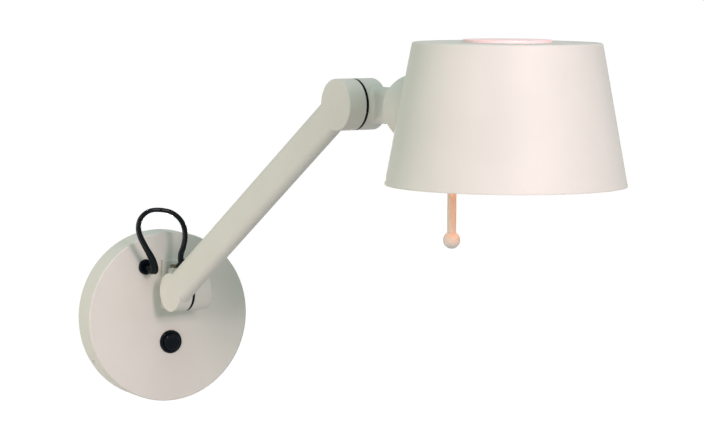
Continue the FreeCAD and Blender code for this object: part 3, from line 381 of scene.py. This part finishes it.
def smooth_line(name, points):
    """Points along the NURBS spline of a route."""
    curve = bpy.data.curves.new(name, "CURVE")
    curve.dimensions = "3D"
    curve.resolution_u = 10
    spline = curve.splines.new("NURBS")
    spline.points.add(len(points) - 1)
    for knot, point in zip(spline.points, points):
        knot.co = (*point, 1.0)
    spline.order_u = 3
    spline.use_endpoint_u = True
    carrier = add_object(name, curve)
    bpy.context.view_layer.update()
    mesh = bpy.data.meshes.new_from_object(carrier)
    line = [vertex.co.copy() for vertex in mesh.vertices]
    bpy.data.meshes.remove(mesh)
    bpy.data.objects.remove(carrier)
    return line


def flex_section():
    """The outline of two cores side by side, with a groove on each side, as (wide, thick) pairs."""
    core = FLEX_THICKNESS / 2
    offset = FLEX_WIDTH / 2 - core
    meet = math.acos(-offset / core)
    outline = []
    for side in (1, -1):
        for step in range(CORE_STEPS):
            angle = -meet + 2 * meet * (step + 0.5) / CORE_STEPS
            outline.append((side * (offset + core * math.cos(angle)), side * core * math.sin(angle)))
    return outline


def twist_at(twist, share):
    """The width's direction at a share of the stretch."""
    for (start, first), (end, second) in zip(twist, twist[1:]):
        if share <= end:
            ease = (share - start) / (end - start)
            return first.lerp(second, ease * ease * (3 - 2 * ease))
    return twist[-1][1]


def path_length(line):
    return sum((after - before).length for before, after in zip(line, line[1:]))


def tube_faces(rings, count):
    """The faces of a closed tube, from its rings of count points each."""
    faces = []
    for ring in range(rings - 1):
        for step in range(count):
            here = ring * count + step
            beside = ring * count + (step + 1) % count
            faces.append((here, beside, beside + count, here + count))
    last = (rings - 1) * count
    faces.append(tuple(reversed(range(count))))
    faces.append(tuple(range(last, last + count)))
    return faces


def flat_flex(name, points, twist):
    """A stretch of flat two-core flex as a closed mesh, and the line that it follows."""
    line = smooth_line(name + "_route", points)
    whole = path_length(line)
    outline = flex_section()
    vertices = []
    run = 0.0
    for index, place in enumerate(line):
        before = line[max(index - 1, 0)]
        after = line[min(index + 1, len(line) - 1)]
        ahead = (after - before).normalized()
        if index:
            run += (place - before).length
        wide = twist_at(twist, run / whole)
        wide = (wide - ahead * wide.dot(ahead)).normalized()
        thick = ahead.cross(wide)
        vertices += [place + wide * across + thick * through for across, through in outline]
    mesh = bpy.data.meshes.new(name)
    mesh.from_pydata(vertices, [], tube_faces(len(line), len(outline)))
    for face in mesh.polygons:
        face.use_smooth = len(face.vertices) == 4
    mesh.materials.append(JACKET)
    return add_object(name, mesh), line


def add_flex():
    """Both stretches of the loop as flat flex meshes, in place of the CAD stretches."""
    stretches = [
        ("flex_base", FLEX_BASE_POINTS, FLEX_BASE_TWIST, ("wall_base", "swivel")),
        ("flex_arm", FLEX_ARM_POINTS, FLEX_ARM_TWIST, ("swivel", "arm")),
    ]
    for node, points, twist, bodies in stretches:
        flex, line = flat_flex(node + "_flat", points, twist)
        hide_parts(node)
        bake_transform(flex)


# ---------------------------------------------------------------- the button's spring


def add_spring():
    """The spring again as a separate zinc piece, in place of the CAD spring."""
    cad_spring = frame["nodes"]["button_spring"]
    mesh = cad_spring.data.copy()
    mesh.transform(cad_spring.matrix_world)
    mesh.materials.clear()
    mesh.materials.append(ZINC)
    spring = add_object("button_spring_soft", mesh)
    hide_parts("button_spring")
    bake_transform(spring)


# ---------------------------------------------------------------- stage

FLOOR_HEIGHT = -0.75
FLOOR_SIZE = 300.0
FLOOR_COLOUR = (0.55, 0.55, 0.55)
FLOOR_ROUGHNESS = 0.9
# A glow that only the camera sees, which brings the lit floor up to white.
GLOW_COLOUR = (1.0, 0.92, 0.93)
GLOW_STRENGTH = 0.86
AMBIENT = (0.31, 0.43, 0.41)
WHITE = (1.0, 1.0, 1.0)


def camera_sees(tree):
    """1 for rays that come straight, mirrored or refracted from the camera."""
    path = tree.nodes.new("ShaderNodeLightPath")
    seen = path.outputs["Is Camera Ray"]
    for name in ("Is Glossy Ray", "Is Transmission Ray"):
        either = tree.nodes.new("ShaderNodeMath")
        either.operation = "MAXIMUM"
        tree.links.new(seen, either.inputs[0])
        tree.links.new(path.outputs[name], either.inputs[1])
        seen = either.outputs[0]
    return seen


def add_world():
    """White to the camera, and an even pale light on the object."""
    world = bpy.data.worlds.new("studio")
    world.use_nodes = True
    bpy.context.scene.world = world
    tree = world.node_tree
    shade = tree.nodes.new("ShaderNodeMix")
    shade.data_type = "RGBA"
    shade.inputs[MIX_FIRST].default_value = (*AMBIENT, 1.0)
    shade.inputs[MIX_SECOND].default_value = (*WHITE, 1.0)
    tree.links.new(camera_sees(tree), shade.inputs["Factor"])
    tree.links.new(shade.outputs[MIX_RESULT], tree.nodes["Background"].inputs["Color"])


def floor_material():
    """Plain pale floor, with the object's shadow kept, and clear when seen from below."""
    material = bpy.data.materials.new("pale_floor")
    material.use_nodes = True
    tree = material.node_tree
    shader = tree.nodes["Principled BSDF"]
    shader.inputs["Base Color"].default_value = (*FLOOR_COLOUR, 1.0)
    shader.inputs["Roughness"].default_value = FLOOR_ROUGHNESS
    shader.inputs["Specular IOR Level"].default_value = 0.0
    shader.inputs["Emission Color"].default_value = (*GLOW_COLOUR, 1.0)
    glow = tree.nodes.new("ShaderNodeMath")
    glow.operation = "MULTIPLY"
    glow.inputs[1].default_value = GLOW_STRENGTH
    tree.links.new(camera_sees(tree), glow.inputs[0])
    tree.links.new(glow.outputs[0], shader.inputs["Emission Strength"])
    clear = tree.nodes.new("ShaderNodeBsdfTransparent")
    side = tree.nodes.new("ShaderNodeNewGeometry")
    both = tree.nodes.new("ShaderNodeMixShader")
    tree.links.new(side.outputs["Backfacing"], both.inputs["Fac"])
    tree.links.new(shader.outputs["BSDF"], both.inputs[1])
    tree.links.new(clear.outputs["BSDF"], both.inputs[2])
    tree.links.new(both.outputs["Shader"], tree.nodes["Material Output"].inputs["Surface"])
    return material


def add_floor():
    half = FLOOR_SIZE / 2
    corners = [(-half, -half), (half, -half), (half, half), (-half, half)]
    mesh = bpy.data.meshes.new("floor")
    mesh.from_pydata([(x, y, FLOOR_HEIGHT) for x, y in corners], [], [(0, 1, 2, 3)])
    mesh.materials.append(floor_material())
    add_object("floor", mesh)


# ---------------------------------------------------------------- light

LIT_MIDDLE = Vector((0.05, -0.28, 0.08))


def add_lamp(name, turn, rise, distance, side, power, colour):
    """A square soft box at a turn, a rise and a distance, aimed at the middle of the object."""
    data = bpy.data.lights.new(name, "AREA")
    data.size = side
    data.energy = power
    data.color = colour
    away = room_direction(turn, rise)
    lamp = add_object(name, data)
    lamp.location = LIT_MIDDLE + away * distance
    lamp.rotation_euler = (-away).to_track_quat("-Z", "Y").to_euler()


def add_lamps():
    """Four lamps for the photograph's light, and one behind that other views need."""
    add_lamp("key", turn=-4.0, rise=18.0, distance=2.4, side=0.55, power=40.5, colour=(1.0, 0.77, 0.87))
    add_lamp("left", turn=-56.0, rise=12.0, distance=3.4, side=0.77, power=20.0, colour=(1.0, 0.86, 0.86))
    add_lamp("rim", turn=-112.0, rise=-3.0, distance=1.0, side=0.3, power=3.1, colour=(1.0, 0.85, 0.76))
    add_lamp("top", turn=0.0, rise=75.0, distance=3.4, side=0.77, power=15.0, colour=(0.8, 0.88, 1.0))
    add_lamp("back", turn=158.0, rise=-6.0, distance=3.4, side=0.5, power=36.0, colour=(1.0, 0.66, 0.72))


# ---------------------------------------------------------------- the whole scene

bpy.context.scene.view_settings.view_transform = "Standard"
add_camera()
add_flex()
add_spring()
dress_cad_nodes()
add_world()
add_floor()
add_lamps()
